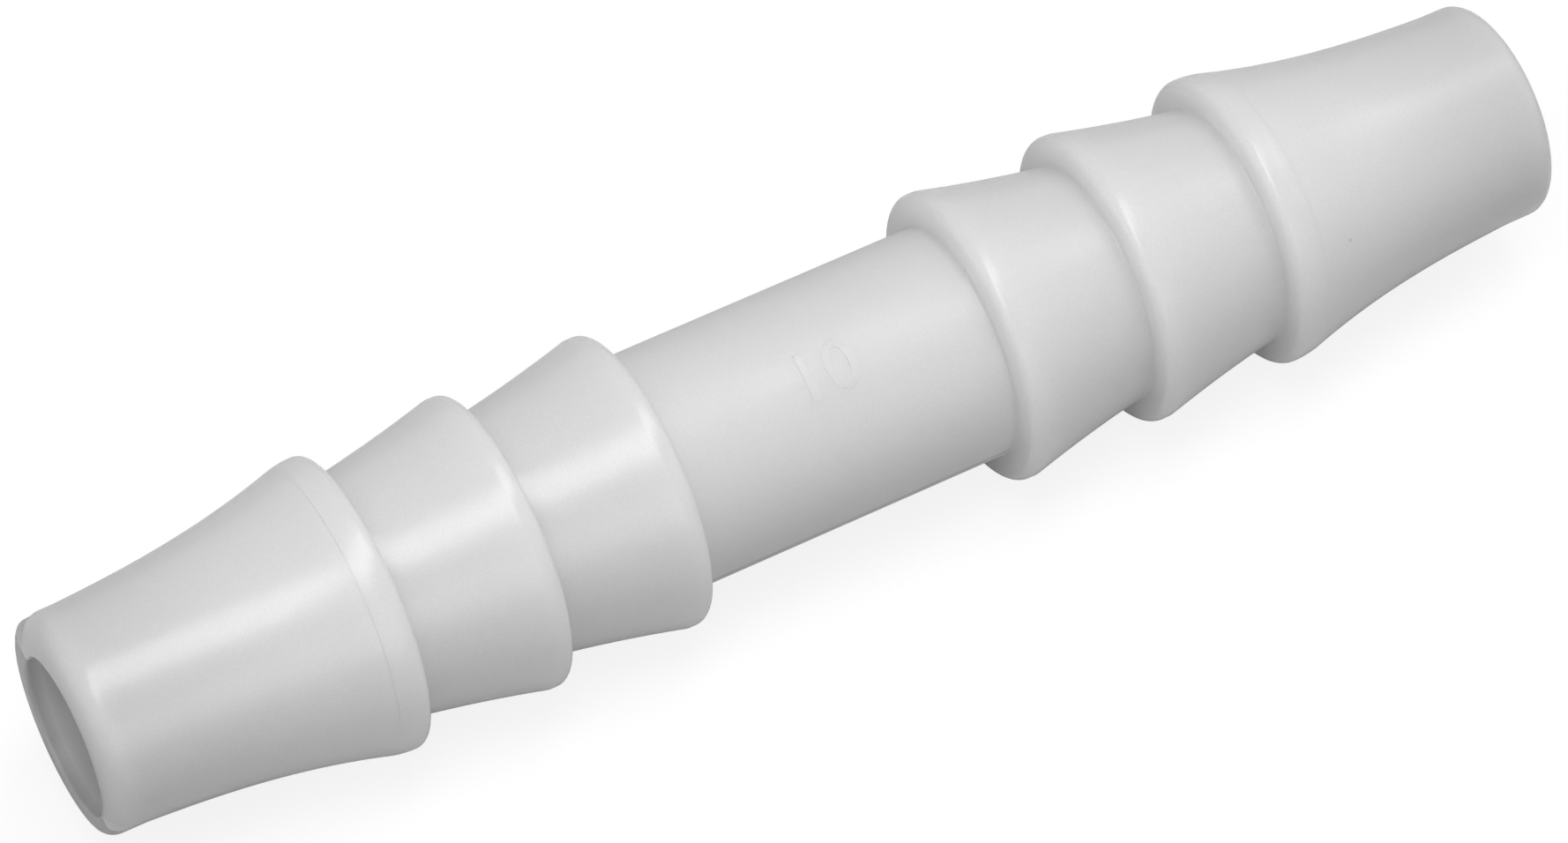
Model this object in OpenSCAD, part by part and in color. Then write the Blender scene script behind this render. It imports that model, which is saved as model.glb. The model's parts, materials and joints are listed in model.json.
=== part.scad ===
// Straight tube connector for joining two 10 mm hoses, moulded in one piece.
// The bore lies along X, and the origin is in the middle of the bore at mid-length.

/* [Plain middle] */
// Diameter between the two barbed ends
middle_d = 9.4; // [8.6:0.1:10.4]
// Length from one inner shoulder to the other
middle_len = 13.7; // [6:0.5:40]

/* [Barbs] */
// Barbs on each end, with the outer one that runs out into the nose
barb_count = 3; // [1:1:6]
// Diameter over the crests, which the hose is stretched to
crest_d = 11.8; // [11.2:0.1:14]
// Diameter at the foot of each cone
root_d = 9.65; // [8.6:0.05:10.2]
// Distance from one shoulder to the next
barb_pitch = 5.9; // [4:0.1:12]
// Depth by which a cone dips below its straight line
cone_dip = 0.06; // [0:0.01:0.15]
// Width of the straight band on each crest
crest_land = 0.25; // [0.1:0.05:0.6]
// Lean of the shoulders away from square, in degrees
shoulder_lean = 4; // [0:1:12]

/* [Nose] */
// Length of the nose, from the outer shoulder to the end of the tube
nose_len = 12.4; // [9:0.1:24]
// Width of the straight band on the outer crest
nose_land = 0.5; // [0.2:0.1:1.5]
// Diameter of the straight lead-in at the end of the tube
lead_d = 8.75; // [8.2:0.05:9.4]
// Length of the straight lead-in, with its rounded rim
lead_len = 1.6; // [1.2:0.1:4]
// Power of the flare's curve, where 1 is a plain cone
flare_power = 2.5; // [1.4:0.1:3]
// Share of the flare that is a plain cone
flare_cone = 0.35; // [0:0.05:0.5]

/* [Bore] */
// Diameter of the bore that runs right through
bore_d = 6.4; // [4:0.1:7.4]

/* [Edges] */
// Radius of each shoulder's outer edge
crest_edge_r = 0.4; // [0.1:0.05:0.6]
// Radius where a crest's band turns into its cone
crest_blend_r = 0.5; // [0.1:0.1:0.6]
// Radius where the outer crest's band turns into the flare
nose_blend_r = 3; // [0.5:0.5:4]
// Radius of the hollow corner at the foot of each shoulder
foot_r = 0.1; // [0.02:0.02:0.2]
// Radius of the rim towards the outside
rim_outer_r = 0.6; // [0.1:0.05:0.8]
// Radius of the rim towards the bore
rim_inner_r = 0.1; // [0.05:0.05:0.4]

/* [Smoothness] */
// Segments round the full circle
round_steps = 96; // [24:8:192]
// Segments along each cone
cone_steps = 6; // [2:1:16]
// Segments along the flare
flare_steps = 20; // [6:1:40]
// Degrees that one segment of a rounded edge turns through
edge_step = 10; // [4:1:30]

/* [Hidden] */

middle_r = middle_d / 2;
crest_r = crest_d / 2;
root_r = root_d / 2;
lead_r = lead_d / 2;
bore_r = bore_d / 2;

// Heights along the bore, measured from mid-length
inner_shoulder = middle_len / 2;
outer_shoulder = inner_shoulder + (barb_count - 1) * barb_pitch;
tube_end = outer_shoulder + nose_len;

// Rounded edges never take more than their share of the wall they are cut from
tip_wall = lead_r - bore_r;
outer_rim = min(rim_outer_r, 0.7 * tip_wall);
inner_rim = min(rim_inner_r, 0.25 * tip_wall);
crest_edge = min(crest_edge_r, 0.8 * (crest_r - max(root_r, middle_r)));

function unit(v) = v / norm(v);
function turned(v, angle) =
    [v.x * cos(angle) - v.y * sin(angle), v.x * sin(angle) + v.y * cos(angle)];

// The arc of radius r that rounds corner b between its neighbours a and c
function corner_arc(a, b, c, r) =
    let (to_a = unit(a - b))
    let (to_c = unit(c - b))
    let (half = acos(to_a * to_c) / 2)
    let (centre = b + unit(to_a + to_c) * r / sin(half))
    let (start = b + to_a * r / tan(half) - centre)
    let (sweep = (cross(to_a, to_c) > 0 ? -1 : 1) * (180 - 2 * half))
    let (steps = max(2, ceil(abs(sweep) / edge_step)))
    [for (i = [0:steps]) centre + turned(start, sweep * i / steps)];

// An outline given as [corner, radius] pairs, with every corner rounded that has a radius.
// The first and the last pair stay as they are.
function rounded(corners) = [
    for (i = [0:len(corners) - 1])
        let (b = corners[i][0])
        let (r = corners[i][1])
        each (i == 0 || i == len(corners) - 1 || r == 0)
            ? [b]
            : corner_arc(corners[i - 1][0], b, corners[i + 1][0], r)
];

function corner(radius, height, edge = 0) = [[radius, height], edge];

// The foot and the outer edge of a shoulder that stands up from radius foot
function shoulder(foot, height) = [
    corner(foot, height - (crest_r - foot) * tan(shoulder_lean), foot_r),
    corner(crest_r, height, crest_edge)
];

// The radius that blends a straight band into a slope, whose first step drops by drop in length.
// It takes no more than its share of the band and of that step.
function blend(r, band, drop, length) =
    min(r, 0.9 * min(band, length) / tan(atan2(drop, length) / 2));

// The concave cone's radius, where u runs from 0 at its crest to 1 at the next foot
function cone_r(u) = crest_r + (root_r - crest_r) * u - 4 * cone_dip * u * (1 - u);

// The cone from a crest's band down towards the next shoulder, whose foot ends it
function cone(height) =
    let (top = height + crest_edge + crest_land)
    let (end = height + barb_pitch - (crest_r - root_r) * tan(shoulder_lean))
    let (step = (end - top) / cone_steps)
    let (edge = blend(crest_blend_r, crest_land, crest_r - cone_r(1 / cone_steps), step))
    [for (i = [0:cone_steps - 1])
        corner(cone_r(i / cone_steps), top + i * step, i == 0 ? edge : 0)];

function barb(i) = concat(
    shoulder(i == 0 ? middle_r : root_r, inner_shoulder + i * barb_pitch),
    i < barb_count - 1 ? cone(inner_shoulder + i * barb_pitch) : []);

// The flare's radius, where u runs from 0 at the outer crest to 1 at the lead-in
function flare_r(u) =
    let (curve = (1 - flare_cone) * pow(1 - u, flare_power))
    lead_r + (crest_r - lead_r) * (curve + flare_cone * (1 - u));

function nose() =
    let (top = outer_shoulder + crest_edge + nose_land)
    let (end = tube_end - lead_len)
    let (step = (end - top) / flare_steps)
    let (edge = blend(nose_blend_r, nose_land, crest_r - flare_r(1 / flare_steps), step))
    concat(
        [for (i = [0:flare_steps])
            corner(flare_r(i / flare_steps), top + i * step, i == 0 ? edge : 0)],
        [corner(lead_r, tube_end, outer_rim),
         corner(bore_r, tube_end, inner_rim),
         corner(bore_r, 0)]);

// Half of the wall's section, from the plain middle round the rim and back along the bore
half_section = rounded(concat(
    [corner(middle_r, 0)],
    [for (i = [0:barb_count - 1]) each barb(i)],
    nose()));

module barbed_end() {
    rotate_extrude($fn = round_steps) polygon(half_section);
}

// Both ends are alike and meet at mid-length
module connector() {
    color("whitesmoke")
        for (turn = [90, -90])
            rotate([0, turn, 0]) barbed_end();
}

connector();
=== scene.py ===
import json
import math
from collections import namedtuple

import bmesh
import bpy
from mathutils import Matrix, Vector


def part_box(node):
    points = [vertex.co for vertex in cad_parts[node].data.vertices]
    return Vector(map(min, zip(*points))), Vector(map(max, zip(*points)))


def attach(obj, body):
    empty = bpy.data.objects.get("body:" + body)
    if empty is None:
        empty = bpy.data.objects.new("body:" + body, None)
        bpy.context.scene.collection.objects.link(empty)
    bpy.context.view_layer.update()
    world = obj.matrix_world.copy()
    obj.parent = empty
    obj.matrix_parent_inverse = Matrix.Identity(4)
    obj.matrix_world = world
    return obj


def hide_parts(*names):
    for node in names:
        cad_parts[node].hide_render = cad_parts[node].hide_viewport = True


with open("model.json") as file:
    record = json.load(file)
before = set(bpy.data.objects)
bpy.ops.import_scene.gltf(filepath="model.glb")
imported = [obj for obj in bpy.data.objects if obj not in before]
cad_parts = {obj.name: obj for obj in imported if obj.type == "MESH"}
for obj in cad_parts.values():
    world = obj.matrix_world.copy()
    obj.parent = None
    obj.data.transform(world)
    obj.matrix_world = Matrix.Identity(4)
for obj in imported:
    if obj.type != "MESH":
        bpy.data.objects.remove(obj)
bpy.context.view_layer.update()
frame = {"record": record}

# Sizes in metres. The frame gives those that other things fit, and the rest are the moulding's own.
MM = 0.001
tolerance = 0.001 * MM
mounts = {mount["name"]: mount["dims"] for mount in frame["record"]["mounts"]}
box_low, box_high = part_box("connector")

middle_r = mounts["plain_middle"]["r_mm"] * MM
crest_r = mounts["barbs_plus_x"]["r_mm"] * MM
bore_r = mounts["flow_bore"]["r_mm"] * MM
root_r = 4.825 * MM
lead_r = 4.375 * MM

tube_end = box_high.x
inner_shoulder = 6.85 * MM
barb_pitch = 5.9 * MM
barb_count = 3
outer_shoulder = inner_shoulder + (barb_count - 1) * barb_pitch

cone_dip = 0.06 * MM
crest_land = 0.25 * MM
nose_land = 0.5 * MM
shoulder_slope = math.tan(math.radians(4))
lead_len = 1.6 * MM
flare_power = 2.5
flare_cone = 0.35
middle_end = inner_shoulder - (crest_r - middle_r) * shoulder_slope

# The radius of each rounded corner, and how many segments round it
foot_round = 0.1 * MM
foot_steps = 3
crest_edge = 0.4 * MM
crest_steps = 8
crest_blend = 0.5 * MM
blend_steps = 4
nose_blend = 3 * MM
nose_steps = 6
rim_outer = 0.6 * MM
rim_outer_steps = 10
rim_inner = 0.1 * MM
rim_inner_steps = 5

# The left end came out of the mould with a rounder rim on its near half and the mouth off its middle
rim_near = 1.05 * MM
mouth_shift = 0.3 * MM
mouth_shift_angle = math.radians(-34)

ring_points = 192
cone_rings = 8
flare_rings = 24
sharp_edge = math.radians(50)

# The angle round the bore is counted from -Y towards +Z, the side that faces the camera
parting_angle = math.radians(-22.5)
parting_half_width = math.radians(0.6)
parting_height = 0.03 * MM

number_text = "10"
number_angle = math.radians(66.5)
number_height = 2.0 * MM
number_relief = 0.1 * MM
number_sunk = 0.1 * MM
number_edge = 0.03 * MM
number_slices = 24
font_size = 1.4 * number_height
sliced_height = 1.2 * number_height

# The plastic's texture, and how far light spreads in it
light_spread = 3.5 * MM
mark_width = 0.22 * MM
mark_scale_along = 0.07
mark_relief = 0.8
middle_fade = 0.3 * MM
grain_size = 0.07 * MM
grain_span = (0.25, 0.75)
mottle_size = 0.7 * MM
mottle_span = (0.3, 0.7)
relief_depth = 0.002 * MM
speck_spacing = 3.2 * MM
speck_edge = (0.012, 0.03)

# Its roughness, and what the middle adds to it
roughness = (0.235, 0.265)
middle_roughness = 0.04
mark_roughness = 0.30

# Its tones, as shares of the record's colour. The middle's gain is painted light, and the thin ends' tone
# and the parting lines' loss are painted shade; the grain and specks are the plastic's own.
painted_middle_light = 0.07
thin_end_shade_start = 22 * MM
thin_end_shade_tone = 0.84
grain_tones = (0.97, 1.03)
speck_tone = 0.8
parting_shade_loss = 0.26
parting_shadow = math.radians(3.2)

# The lower half of the left end is drawn greyer, as painted shade, because the photograph shows its rim
# darker. Counted from the end, its tone turns from the rim's to the bore's between the first two depths,
# and from the bore's to the full one between the other two. Beside the parting lines it turns over an
# angle of this sine. Both tones at 1 leave that half as pale as the rest.
lower_rim_shade = 0.56
lower_bore_shade = 0.9
rim_depths = (0.2 * MM, 0.6 * MM)
bore_depths = (2 * MM, 7 * MM)
half_fade = 0.02

Corner = namedtuple("Corner", "x radius rounding steps", defaults=(0, 0))


def outward(angle):
    """The direction away from the bore's axis at that angle."""
    return Vector((0, -math.cos(angle), math.sin(angle)))


def activate(piece):
    """Leaves only this piece selected."""
    if bpy.context.object and bpy.context.object.mode != "OBJECT":
        bpy.ops.object.mode_set(mode="OBJECT")
    bpy.ops.object.select_all(action="DESELECT")
    piece.select_set(True)
    bpy.context.view_layer.objects.active = piece


def edit(piece, mode="EDGE"):
    """Opens the piece in edit mode with nothing selected."""
    activate(piece)
    bpy.ops.object.mode_set(mode="EDIT")
    bpy.ops.mesh.select_mode(type=mode)
    bpy.ops.mesh.select_all(action="DESELECT")


def select_ring(piece, x, radius):
    """Selects the ring of edges at that place and radius."""
    mesh = bmesh.from_edit_mesh(piece.data)

    def on_ring(vertex):
        co = vertex.co
        return abs(co.x - x) < 2 * tolerance and abs(math.hypot(co.y, co.z) - radius) < 2 * tolerance

    for edge in mesh.edges:
        edge.select_set(all(on_ring(vertex) for vertex in edge.verts))
    bmesh.update_edit_mesh(piece.data)


def select_vertices(piece, wanted):
    """Selects the vertices that pass the test."""
    mesh = bmesh.from_edit_mesh(piece.data)
    for vertex in mesh.verts:
        vertex.select_set(wanted(vertex))
    mesh.select_flush_mode()
    bmesh.update_edit_mesh(piece.data)


def angle_from(place, angle):
    """How far round the bore a place lies from that angle, between minus and plus half a turn."""
    turn = math.atan2(place.z, -place.y) - angle
    return (turn + math.pi) % math.tau - math.pi


def cone_radius(u):
    """A cone's radius, where u runs from 0 at its crest to 1 at the next foot."""
    return crest_r + (root_r - crest_r) * u - 4 * cone_dip * u * (1 - u)


def flare_radius(u):
    """The nose's radius, where u runs from 0 at the outer crest to 1 at the lead-in."""
    curve = (1 - flare_cone) * (1 - u) ** flare_power
    return lead_r + (crest_r - lead_r) * (curve + flare_cone * (1 - u))


def half_outline():
    """The section's corners, from mid-length out to the rim and back along the bore."""
    corners = []
    for barb in range(barb_count):
        top = inner_shoulder + barb * barb_pitch
        foot = root_r if barb else middle_r
        corners.append(Corner(top - (crest_r - foot) * shoulder_slope, foot, foot_round, foot_steps))
        corners.append(Corner(top, crest_r, crest_edge, crest_steps))
        if barb < barb_count - 1:
            start = top + crest_edge + crest_land
            end = top + barb_pitch - (crest_r - root_r) * shoulder_slope
            corners.append(Corner(start, crest_r, crest_blend, blend_steps))
            for i in range(1, cone_rings):
                u = i / cone_rings
                corners.append(Corner(start + (end - start) * u, cone_radius(u)))
    start = outer_shoulder + crest_edge + nose_land
    end = tube_end - lead_len
    corners.append(Corner(start, crest_r, nose_blend, nose_steps))
    for i in range(1, flare_rings + 1):
        u = i / flare_rings
        corners.append(Corner(start + (end - start) * u, flare_radius(u)))
    corners.append(Corner(tube_end, lead_r, rim_outer, rim_outer_steps))
    corners.append(Corner(tube_end, bore_r, rim_inner, rim_inner_steps))
    corners.append(Corner(0, bore_r))
    return corners


def rounding_reach(before, corner, after):
    """How far along both sides a corner's rounding reaches."""
    arriving = Vector((corner.x - before.x, corner.radius - before.radius))
    leaving = Vector((after.x - corner.x, after.radius - corner.radius))
    return corner.rounding * math.tan(arriving.angle(leaving) / 2)


def turned_body():
    """The moulding, drawn ring by ring along its section, rounded, and mirrored at mid-length."""
    bpy.ops.object.select_all(action="DESELECT")
    bpy.ops.mesh.primitive_circle_add(vertices=ring_points, radius=middle_r, rotation=(0, math.pi / 2, 0))
    body = bpy.context.object
    body.name = "connector_body"
    bpy.ops.object.transform_apply(location=True, rotation=True, scale=True)
    narrow_parting_columns(body)

    corners = half_outline()
    edit(body)
    bpy.ops.mesh.select_all(action="SELECT")
    last = Corner(0, middle_r)
    for corner in corners:
        bpy.ops.mesh.extrude_region_move(TRANSFORM_OT_translate={"value": (corner.x - last.x, 0, 0)})
        scale = corner.radius / last.radius
        bpy.ops.transform.resize(value=(1, scale, scale), center_override=(corner.x, 0, 0))
        last = corner

    path = [Corner(0, middle_r)] + corners
    for before, corner, after in zip(path, path[1:], path[2:]):
        if corner.rounding:
            select_ring(body, corner.x, corner.radius)
            bpy.ops.mesh.bevel(offset_type="OFFSET", offset=rounding_reach(before, corner, after),
                               segments=corner.steps, profile=0.5, affect="EDGES")

    bpy.ops.object.mode_set(mode="OBJECT")
    mirror = body.modifiers.new("other_end", "MIRROR")
    mirror.merge_threshold = tolerance
    bpy.ops.object.modifier_apply(modifier=mirror.name)
    edit(body)
    bpy.ops.mesh.select_all(action="SELECT")
    bpy.ops.mesh.remove_doubles(threshold=tolerance)
    bpy.ops.mesh.normals_make_consistent(inside=False)
    bpy.ops.object.mode_set(mode="OBJECT")
    return body


def narrow_parting_columns(ring):
    """Draws the ring's points beside each parting line close to it."""
    column = math.tau / ring_points
    edit(ring, "VERT")
    for line in (parting_angle, parting_angle + math.pi):
        for side in (-1, 1):
            beside = line + side * column
            select_vertices(ring, lambda vertex: abs(angle_from(vertex.co, beside)) < column / 4)
            bpy.ops.transform.rotate(value=side * (column - parting_half_width), orient_axis="X",
                                     center_override=(0, 0, 0))
    bpy.ops.object.mode_set(mode="OBJECT")


def raise_parting_lines(body):
    """The fine ridge where the two halves of the mould met, on both sides of the plain middle."""
    halfway = (bore_r + middle_r) / 2
    edit(body, "VERT")
    for line in (parting_angle, parting_angle + math.pi):
        select_vertices(body, lambda vertex: abs(vertex.co.x) < inner_shoulder - 2 * foot_round
                        and math.hypot(vertex.co.y, vertex.co.z) > halfway
                        and abs(angle_from(vertex.co, line)) < parting_half_width / 4)
        bpy.ops.transform.translate(value=outward(line) * parting_height)
    bpy.ops.object.mode_set(mode="OBJECT")


def left_rim_rings(body):
    """The left rim's vertices, ring by ring: (depth, radius) in metres, and their numbers."""
    rings = {}
    for vertex in body.data.vertices:
        depth = tube_end + vertex.co.x
        if depth < rim_outer + tolerance:
            radius = math.hypot(vertex.co.y, vertex.co.z)
            key = (round(depth / MM, 4) * MM, round(radius / MM, 4) * MM)
            rings.setdefault(key, set()).add(vertex.index)
    return rings


def shape_left_rim(body):
    """Rounds the near half of the left rim further in, and shifts the bore's mouth."""
    near_middle = parting_angle + math.pi / 2
    near_reach = math.pi / 2 - parting_half_width / 2
    growth = rim_near / rim_outer
    rings = left_rim_rings(body)
    edit(body, "VERT")
    for (depth, radius), members in rings.items():
        if radius > lead_r - rim_outer - tolerance:
            scale = (lead_r - growth * (lead_r - radius)) / radius
            select_vertices(body, lambda vertex: vertex.index in members
                            and abs(angle_from(vertex.co, near_middle)) < near_reach)
            bpy.ops.transform.resize(value=(1, scale, scale), center_override=(depth - tube_end, 0, 0))
            bpy.ops.transform.translate(value=((growth - 1) * depth, 0, 0))
        inward = (lead_r - radius) / (lead_r - bore_r)
        select_vertices(body, lambda vertex: vertex.index in members)
        bpy.ops.transform.translate(value=outward(mouth_shift_angle) * mouth_shift * inward)
    bpy.ops.object.mode_set(mode="OBJECT")


def raise_number(body):
    """The hose size, raised on the plain middle, read along the bore and grown into the body."""
    bpy.ops.object.select_all(action="DESELECT")
    bpy.ops.object.text_add(location=(0, 0, 0))
    number = bpy.context.object
    number.name = "size_number"
    number.data.body = number_text
    number.data.align_x = "CENTER"
    number.data.align_y = "CENTER"
    number.data.size = font_size
    number.data.extrude = (number_relief + number_sunk) / 2 - number_edge
    number.data.bevel_depth = number_edge
    number.data.bevel_resolution = 2
    bpy.ops.object.convert(target="MESH")

    # Sliced across, so that it bends round the middle without corners
    edit(number)
    bpy.ops.mesh.select_all(action="SELECT")
    bpy.ops.mesh.remove_doubles(threshold=tolerance)
    for i in range(1, number_slices):
        height = sliced_height * (i / number_slices - 0.5)
        bpy.ops.mesh.select_all(action="SELECT")
        bpy.ops.mesh.bisect(plane_co=(0, height, 0), plane_no=(0, 1, 0))
    bpy.ops.mesh.select_all(action="SELECT")
    bpy.ops.mesh.normals_make_consistent(inside=False)
    bpy.ops.object.mode_set(mode="OBJECT")

    middle_depth = (number_relief - number_sunk) / 2
    for vertex in number.data.vertices:
        along, up, out = vertex.co
        angle = number_angle + up / middle_r
        vertex.co = Vector((along, 0, 0)) + outward(angle) * (middle_r + middle_depth + out)

    activate(body)
    joining = body.modifiers.new("raised_number", "BOOLEAN")
    joining.operation = "UNION"
    joining.solver = "EXACT"
    joining.object = number
    bpy.ops.object.modifier_apply(modifier=joining.name)
    bpy.data.objects.remove(number)


def shade(piece):
    """Smooth, but for edges sharper than the limit."""
    activate(piece)
    bpy.ops.object.shade_smooth_by_angle(angle=sharp_edge)


def add_node(tree, kind, place=(0, 0), **settings):
    """A new node at that place of the tree's layout."""
    node = tree.nodes.new(kind)
    node.location = place
    for name, value in settings.items():
        setattr(node, name, value)
    return node


def value_of(tree, operation, first, second=None, third=None, place=(0, 0)):
    """A Math node whose inputs are numbers or other nodes' outputs."""
    node = add_node(tree, "ShaderNodeMath", place, operation=operation)
    for socket, given in zip(node.inputs, (first, second, third)):
        if isinstance(given, (int, float)):
            socket.default_value = given
        elif given is not None:
            tree.links.new(given, socket)
    return node.outputs[0]


def ramp(tree, value, low, high, out_low, out_high, place=(0, 0), smooth=False):
    """The value carried from low..high to out_low..out_high, and held beyond."""
    node = add_node(tree, "ShaderNodeMapRange", place)
    node.interpolation_type = "SMOOTHSTEP" if smooth else "LINEAR"
    tree.links.new(value, node.inputs["Value"])
    for name, number in (("From Min", low), ("From Max", high), ("To Min", out_low), ("To Max", out_high)):
        node.inputs[name].default_value = number
    return node.outputs["Result"]


def noise(tree, vector, size, place=(0, 0), detail=2.0):
    """Noise whose blotches are about that size, in metres."""
    node = add_node(tree, "ShaderNodeTexNoise", place)
    node.inputs["Scale"].default_value = 1 / size
    node.inputs["Detail"].default_value = detail
    tree.links.new(vector, node.inputs["Vector"])
    return node.outputs["Fac"]


def moulded_plastic():
    """Natural white moulded plastic with a satin sheen, drawn marks on the middle, and a few specks."""
    material = bpy.data.materials.new("moulded_plastic")
    material.use_nodes = True
    tree = material.node_tree
    shader = tree.nodes["Principled BSDF"]
    shader.inputs["IOR"].default_value = 1.5
    shader.inputs["Subsurface Weight"].default_value = 1
    shader.inputs["Subsurface Radius"].default_value = (1, 1, 1)
    shader.inputs["Subsurface Scale"].default_value = light_spread

    place = add_node(tree, "ShaderNodeTexCoord", (-2000, 0)).outputs["Object"]
    split = add_node(tree, "ShaderNodeSeparateXYZ", (-1800, 200))
    tree.links.new(place, split.inputs[0])
    x, y, z = split.outputs
    along = value_of(tree, "ABSOLUTE", x, place=(-1600, 300))
    towards = value_of(tree, "MULTIPLY", y, -1, place=(-1600, 100))
    turn = value_of(tree, "ARCTAN2", z, towards, place=(-1400, 100))

    # Lengthwise drawn marks, which show on the plain middle. The small scale draws them out.
    stretch = add_node(tree, "ShaderNodeMapping", (-1600, -200))
    stretch.inputs["Scale"].default_value = (mark_scale_along, 1, 1)
    tree.links.new(place, stretch.inputs["Vector"])
    marks = noise(tree, stretch.outputs[0], mark_width, (-1400, -200), 3)
    on_middle = ramp(tree, along, middle_end - middle_fade, middle_end, 1, 0, (-1400, 400))

    # The satin sheen, duller on the middle
    grain = noise(tree, place, grain_size, (-1400, -450), 1)
    mottle = noise(tree, place, mottle_size, (-1400, -700), 4)
    dull = value_of(tree, "MULTIPLY_ADD", marks, mark_roughness, middle_roughness, place=(-1150, -150))
    duller = value_of(tree, "MULTIPLY", dull, on_middle, place=(-950, -150))
    mottled = ramp(tree, mottle, *mottle_span, *roughness, (-1150, -700))
    rough = value_of(tree, "ADD", duller, mottled, place=(-750, -200))
    tree.links.new(rough, shader.inputs["Roughness"])

    # The colour's tone: painted light makes the middle paler, and painted shade greys the thin ends
    thin_end_shade = ramp(tree, along, thin_end_shade_start, tube_end, 1, thin_end_shade_tone, (-1150, 400), smooth=True)
    painted_light_and_shade = value_of(tree, "MULTIPLY_ADD", on_middle, painted_middle_light, thin_end_shade, place=(-750, 400))
    grained = ramp(tree, grain, *grain_span, *grain_tones, (-1150, -450))

    # Painted shade along the parting lines on the middle, where the ridge shades the surface beside it
    double_turn = value_of(tree, "MULTIPLY_ADD", turn, 2, -2 * parting_angle, place=(-1150, 150))
    nearness = value_of(tree, "COSINE", double_turn, place=(-950, 150))
    nearness_at_edge = math.cos(2 * parting_shadow)
    line_shade_share = ramp(tree, nearness, nearness_at_edge, 1, 0, parting_shade_loss, (-750, 150), smooth=True)
    line = value_of(tree, "MULTIPLY", line_shade_share, on_middle, place=(-550, 150))
    line_shade_tone = value_of(tree, "SUBTRACT", 1, line, place=(-400, 150))

    # Dark specks, whose edge is given in shares of their spacing
    specks = add_node(tree, "ShaderNodeTexVoronoi", (-1400, -950))
    specks.inputs["Scale"].default_value = 1 / speck_spacing
    tree.links.new(place, specks.inputs["Vector"])
    specked = ramp(tree, specks.outputs["Distance"], *speck_edge, speck_tone, 1, (-1150, -950))

    # Painted shade on the lower half of the left end, greyest at its rim
    from_line = value_of(tree, "SUBTRACT", turn, parting_angle, place=(-1150, 900))
    above_line = value_of(tree, "SINE", from_line, place=(-950, 900))
    upper_half = ramp(tree, above_line, -half_fade, 0, 0, 1, (-750, 900))
    depth = value_of(tree, "ADD", x, tube_end, place=(-1350, 1150))
    lower_end_shade = ramp(tree, depth, *rim_depths, lower_rim_shade, lower_bore_shade, (-1150, 1150))
    past_end = ramp(tree, depth, *bore_depths, 0, 1, (-950, 1150))
    deeper = value_of(tree, "MAXIMUM", lower_end_shade, past_end, place=(-750, 1150))
    end_shade = value_of(tree, "MAXIMUM", deeper, upper_half, place=(-550, 1000))

    tone = painted_light_and_shade
    for step, other in enumerate((grained, line_shade_tone, specked, end_shade)):
        tone = value_of(tree, "MULTIPLY", tone, other, place=(-550 + 200 * step, 350))
    tint = add_node(tree, "ShaderNodeVectorMath", (250, 350), operation="SCALE")
    tint.inputs[0].default_value = frame["record"]["materials"][0]["base_color"][:3]
    tree.links.new(tone, tint.inputs["Scale"])
    tree.links.new(tint.outputs[0], shader.inputs["Base Color"])

    # Fine relief of the mould's surface
    drawn = value_of(tree, "MULTIPLY", marks, on_middle, place=(-950, -350))
    height = value_of(tree, "MULTIPLY_ADD", drawn, mark_relief, grain, place=(-750, -400))
    bump = add_node(tree, "ShaderNodeBump", (-300, -300))
    bump.inputs["Distance"].default_value = relief_depth
    tree.links.new(height, bump.inputs["Height"])
    tree.links.new(bump.outputs[0], shader.inputs["Normal"])
    return material


def looked_at(tree, place):
    """Whether the camera, a gloss or a clear thing looks straight at it, and whether the camera does."""
    path = add_node(tree, "ShaderNodeLightPath", place)
    by_camera = path.outputs["Is Camera Ray"]
    seen = by_camera
    for step, ray in enumerate(("Is Glossy Ray", "Is Transmission Ray"), 1):
        beside = (place[0] + 200 * step, place[1])
        seen = value_of(tree, "MAXIMUM", seen, path.outputs[ray], place=beside)
    return seen, by_camera


def grey_surface(tree, tone, place):
    """A matt surface of that grey."""
    surface = add_node(tree, "ShaderNodeBsdfDiffuse", place)
    surface.inputs["Color"].default_value = (tone, tone, tone, 1)
    return surface.outputs[0]


def mixed(tree, share, first, second, place):
    """The first surface where the share is 0 and the second where it is 1."""
    node = add_node(tree, "ShaderNodeMixShader", place)
    for socket, given in zip(node.inputs, (share, first, second)):
        tree.links.new(given, socket)
    return node.outputs[0]


def floor_material():
    """White to look at, with a weak shadow.

    Reflections show it light grey, and it throws light back as a mid grey does.
    """
    material = bpy.data.materials.new("pale_floor")
    material.use_nodes = True
    tree = material.node_tree
    tree.nodes.clear()
    seen, by_camera = looked_at(tree, (-1100, 300))

    lit = grey_surface(tree, 0.45, (-300, 100))
    mirrored = grey_surface(tree, 0.8, (-300, -50))
    shadowed = grey_surface(tree, 0.2, (-500, -200))
    glow = add_node(tree, "ShaderNodeEmission", (-500, -350))
    glow.inputs["Strength"].default_value = 0.84
    white = add_node(tree, "ShaderNodeAddShader", (-300, -250))
    tree.links.new(shadowed, white.inputs[0])
    tree.links.new(glow.outputs[0], white.inputs[1])

    look = mixed(tree, by_camera, mirrored, white.outputs[0], (0, -150))
    surface = mixed(tree, seen, lit, look, (200, 0))
    output = add_node(tree, "ShaderNodeOutputMaterial", (400, 0))
    tree.links.new(surface, output.inputs["Surface"])
    return material


def floor():
    """The pale surface that the connector lies on."""
    bpy.ops.object.select_all(action="DESELECT")
    bpy.ops.mesh.primitive_plane_add(size=6, location=(0, 0, box_low.z))
    plane = bpy.context.object
    plane.name = "floor"
    bpy.ops.object.transform_apply(location=True, rotation=True, scale=True)
    plane.data.materials.append(floor_material())


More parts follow.
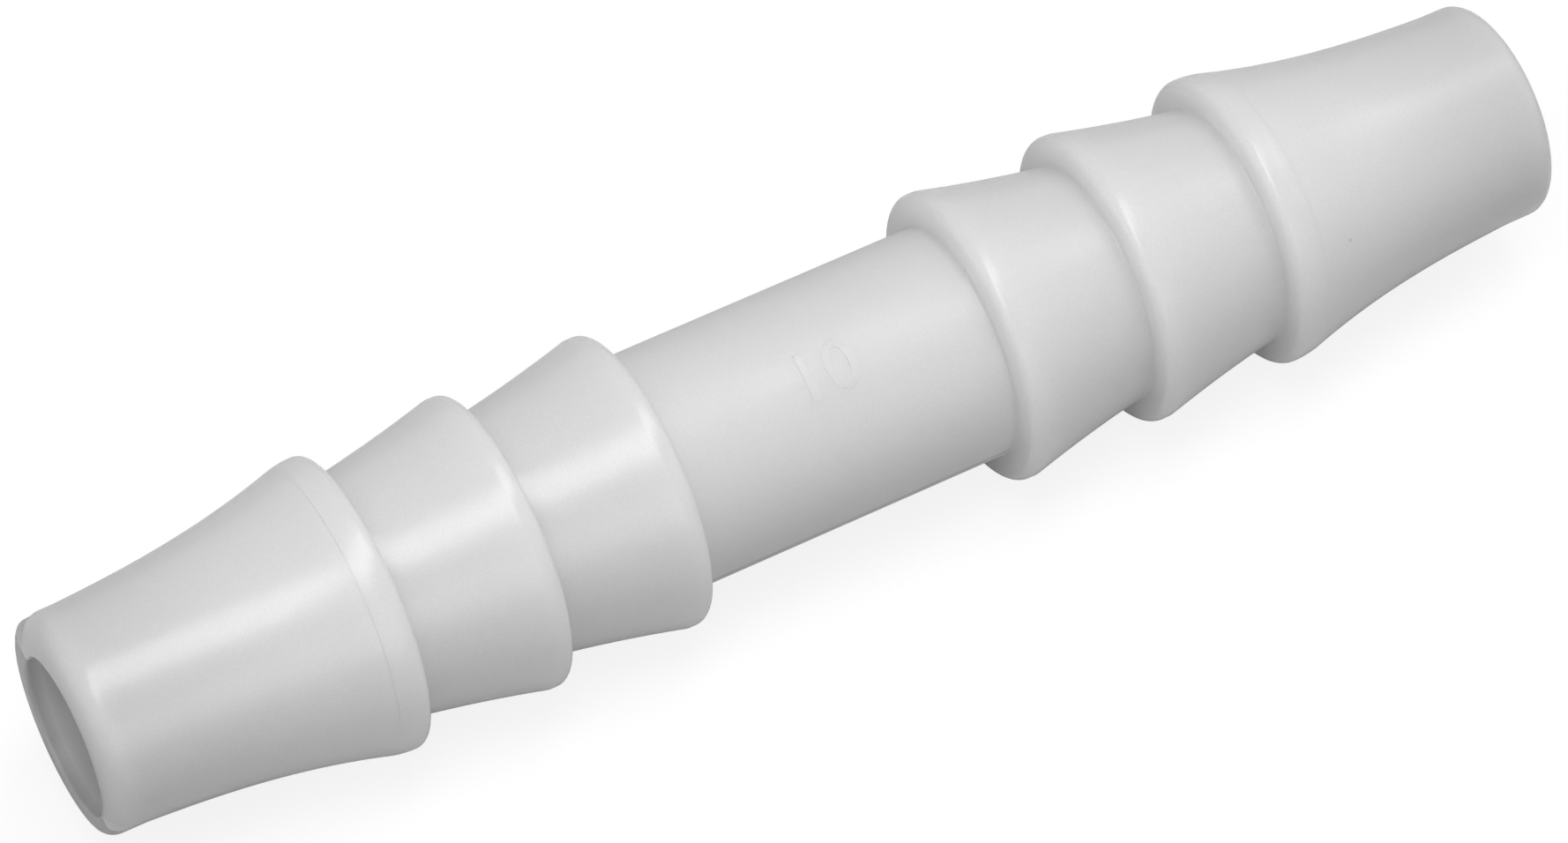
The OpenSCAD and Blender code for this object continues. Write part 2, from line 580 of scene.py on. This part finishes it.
def softbox(name, centre, length, width, radiance):
    """A lit panel with that centre, which faces the connector."""
    data = bpy.data.lights.new(name, "AREA")
    data.shape = "RECTANGLE"
    data.size = length
    data.size_y = width
    data.energy = radiance * math.pi * length * width
    lamp = bpy.data.objects.new(name, data)
    bpy.context.scene.collection.objects.link(lamp)
    lamp.location = centre
    lamp.rotation_euler = Vector(centre).to_track_quat("Z", "Y").to_euler()


def light_studio():
    """Two softboxes in a row overhead, dim ones left, right and in front, and a weak light all round."""
    softbox("overhead", (0.04, -0.06, 0.80), length=0.73, width=0.31, radiance=4.55)
    softbox("overhead_end", (0.61, 0.035, 0.80), length=0.40, width=0.15, radiance=2.7)
    softbox("upper_left", (-0.40, -0.20, 0.78), length=0.9, width=0.7, radiance=0.6)
    softbox("left_wall", (-0.70, 0, 0.40), length=1.1, width=0.8, radiance=0.5)
    softbox("right_wall", (0.75, 0, 0.42), length=1.1, width=0.8, radiance=0.6)
    softbox("front_fill", (-0.10, -0.72, 0.36), length=0.60, width=0.40, radiance=1.2)
    world = bpy.data.worlds.new("studio")
    bpy.context.scene.world = world
    world.use_nodes = True
    tree = world.node_tree
    background = tree.nodes["Background"]
    seen = looked_at(tree, (-900, 0))[0]
    strength = ramp(tree, seen, 0, 1, 0.08, 1, (-150, 0))
    tree.links.new(strength, background.inputs["Strength"])
    background.inputs["Color"].default_value = (1, 1, 1, 1)


def place_camera():
    """A long lens that looks down at the connector from its -X side."""
    azimuth = math.radians(-28.71)
    elevation = math.radians(52.50)
    distance = 293.7 * MM
    shift_left = 0.640 * MM
    shift_down = 0.487 * MM
    back = Vector((math.sin(azimuth) * math.cos(elevation), -math.cos(azimuth) * math.cos(elevation),
                   math.sin(elevation)))
    right = Vector((math.cos(azimuth), math.sin(azimuth), 0))
    up = back.cross(right)
    data = bpy.data.cameras.new("camera")
    data.lens = 177.86
    data.sensor_width = 36
    data.clip_start = 0.01
    data.clip_end = 20
    camera = bpy.data.objects.new("camera", data)
    bpy.context.scene.collection.objects.link(camera)
    camera.location = back * distance - right * shift_left - up * shift_down
    camera.rotation_euler = back.to_track_quat("Z", "Y").to_euler()
    bpy.context.scene.camera = camera


# The part
plastic = moulded_plastic()
body = turned_body()
raise_parting_lines(body)
shape_left_rim(body)
raise_number(body)
shade(body)
body.data.materials.append(plastic)
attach(body, "root")
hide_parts("connector")

# Its surroundings
floor()
light_studio()
place_camera()
bpy.context.scene.view_settings.view_transform = "Standard"
